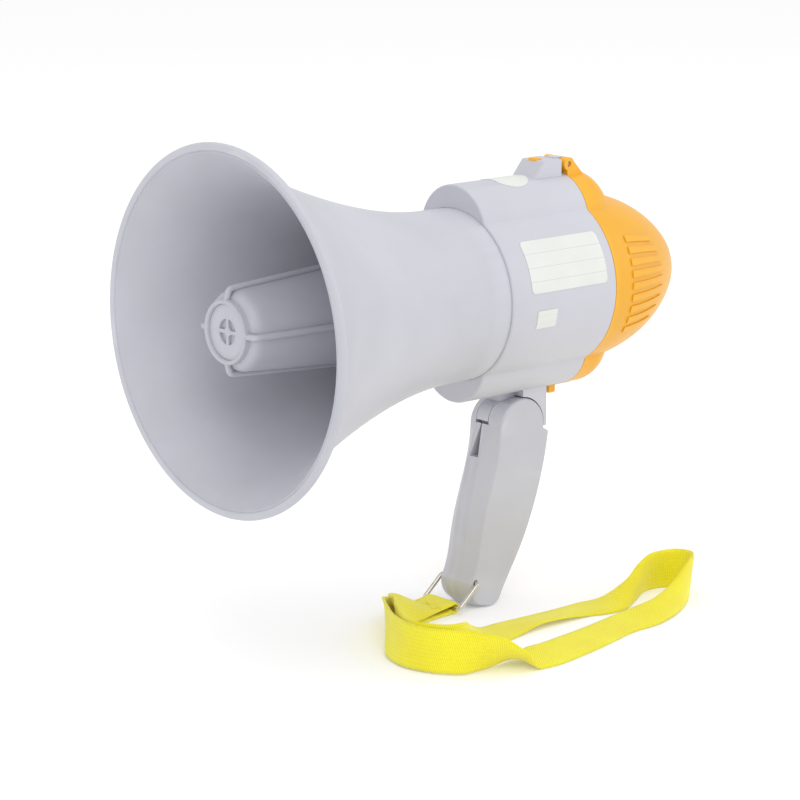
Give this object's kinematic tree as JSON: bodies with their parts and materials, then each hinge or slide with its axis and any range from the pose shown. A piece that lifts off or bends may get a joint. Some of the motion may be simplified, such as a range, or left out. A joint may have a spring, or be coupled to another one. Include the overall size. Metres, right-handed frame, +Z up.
{
  "type": "handheld megaphone",
  "caption": "Handheld megaphone: flared horn with a reflector, twin battery lobes, hinged rear cover with a microphone cup, folding pistol handle with a trigger, and a wrist strap.",
  "frame": {"origin": "centre of the length and width, on the surface that the handle's foot touches", "axes": "+X from the horn's mouth to the rear cover, +Y to the user's right, +Z up"},
  "size_m": [0.2385, 0.1646, 0.2145],
  "materials": {
    "grey_plastic": "satin moulded ABS, light lavender grey",
    "yellow_plastic": "amber yellow moulded ABS",
    "black_plastic": "black moulded plastic",
    "white_plastic": "natural nylon",
    "red_plastic": "red button cap",
    "label": "blank vinyl label",
    "webbing": "lemon yellow woven polypropylene webbing",
    "steel": "zinc plated steel",
    "steel_wire": "bright drawn steel wire",
    "ferrite": "sintered ferrite",
    "copper": "enamelled copper winding",
    "film": "thin polyester film",
    "black_foam": "foam gasket",
    "cell": "blank cell jacket",
    "lead": "PVC insulated wire",
    "board": "green circuit board"
  },
  "bodies": {
    "megaphone": {"horn_bell": "grey_plastic", "reflector_bowl": "grey_plastic", "bowl_cap": "grey_plastic", "tone_tube": "grey_plastic", "driver_gasket": "black_foam", "driver_cover": "black_plastic", "driver_screws": "steel", "diaphragm": "film", "voice_coil": "copper", "top_plate": "steel", "ring_magnet": "ferrite", "pole_yoke": "steel", "body_housing": "grey_plastic", "hump_plug": "yellow_plastic", "side_label": "label", "rating_label": "label", "top_label": "label", "battery_tray_top": "black_plastic", "battery_tray_bottom": "black_plastic", "battery_top_left": "cell", "battery_top_right": "cell", "battery_bottom_left": "cell", "battery_bottom_right": "cell", "contact_springs": "steel", "speaker_leads": "lead", "lead_plug": "white_plastic", "hinge_pin": "steel", "strap": "webbing"},
    "cover": {"rear_cover": "yellow_plastic", "contact_plates": "steel", "amplifier_board": "board", "board_components": "black_plastic", "board_screws": "steel", "mic_grille": "black_plastic", "mic_holder": "black_plastic", "mic_capsule": "steel", "volume_pot": "steel", "mode_switch": "steel", "button_switches": "black_plastic"},
    "latch": {"cover_latch": "yellow_plastic"},
    "volume": {"volume_knob": "black_plastic"},
    "mode": {"mode_slider": "black_plastic"},
    "record": {"record_button": "red_plastic"},
    "play": {"play_button": "black_plastic"},
    "handle": {"handle_left": "grey_plastic", "handle_right": "grey_plastic", "handle_screws": "steel", "fold_pin": "steel", "trigger_pin": "steel", "trigger_spring": "steel", "micro_switch": "black_plastic"},
    "trigger": {"trigger": "black_plastic"},
    "ring": {"d_ring": "steel_wire", "strap_end_loop": "webbing"}
  },
  "joints": [
    {"name": "cover_hinge", "type": "hinge", "parent": "megaphone", "child": "cover", "pos_m": [0.06605, 0, 0.1891], "axis": [0, -1, 0], "range_deg": [0, 100]},
    {"name": "latch_slide", "type": "slide", "parent": "cover", "child": "latch", "axis": [1, 0, 0], "range_m": [0, 0.003], "stiffness_N_per_m": 300},
    {"name": "volume_turn", "type": "hinge", "parent": "cover", "child": "volume", "pos_m": [0.11275, 0, 0.1305], "axis": [-1, 0, 0], "range_deg": [0, 270]},
    {"name": "mode_slide", "type": "slide", "parent": "cover", "child": "mode", "axis": [0, 1, 0], "range_m": [0, 0.005]},
    {"name": "record_press", "type": "slide", "parent": "cover", "child": "record", "axis": [-1, 0, 0], "range_m": [0, 0.0008], "stiffness_N_per_m": 400},
    {"name": "play_press", "type": "slide", "parent": "cover", "child": "play", "axis": [-1, 0, 0], "range_m": [0, 0.0008], "stiffness_N_per_m": 400},
    {"name": "handle_fold", "type": "hinge", "parent": "megaphone", "child": "handle", "pos_m": [0.03025, 0, 0.081], "axis": [0, 1, 0], "range_deg": [0, 72], "deforming": ["strap", "strap_end_loop"]},
    {"name": "trigger_rock", "type": "hinge", "parent": "handle", "child": "trigger", "pos_m": [0.02395, 0, 0.0737], "axis": [0, -1, 0], "range_deg": [0, 8], "stiffness_Nm_per_rad": 0.05, "deforming": ["trigger_spring"]},
    {"name": "ring_swing", "type": "hinge", "parent": "handle", "child": "ring", "pos_m": [0.00995, 0, 0.0122], "axis": [0, 1, 0], "range_deg": [-65, 105], "deforming": ["strap", "strap_end_loop"]}
  ]
}
